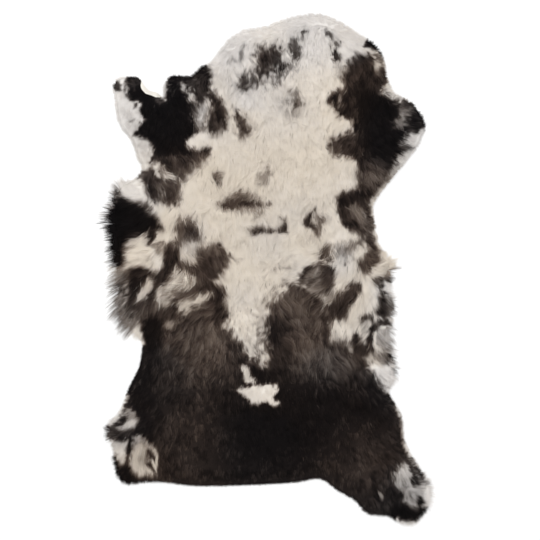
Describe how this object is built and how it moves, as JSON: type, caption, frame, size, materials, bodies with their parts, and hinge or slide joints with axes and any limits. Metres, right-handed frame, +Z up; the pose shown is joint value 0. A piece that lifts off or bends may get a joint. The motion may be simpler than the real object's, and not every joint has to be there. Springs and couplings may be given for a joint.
{
  "type": "sheepskin rug",
  "caption": "Whole sheepskin laid flat with its wool up, neck, legs and flanks left in their natural outline, with longer locks round the rim",
  "frame": {"origin": "middle of the footprint, on the surface that the flesh side rests on", "axes": "+Z up out of the wool, +Y towards the neck along the spine, +X towards the right side as seen from above"},
  "size_m": [0.6751, 1.0255, 0.0376],
  "materials": {
    "wool": "piebald natural wool, cream with black-brown patches, soft and matte, 20 to 35 mm deep",
    "leather": "tanned flesh side, off-white suede, matte"
  },
  "bodies": {
    "root": {"sheepskin": "wool"}
  },
  "joints": []
}
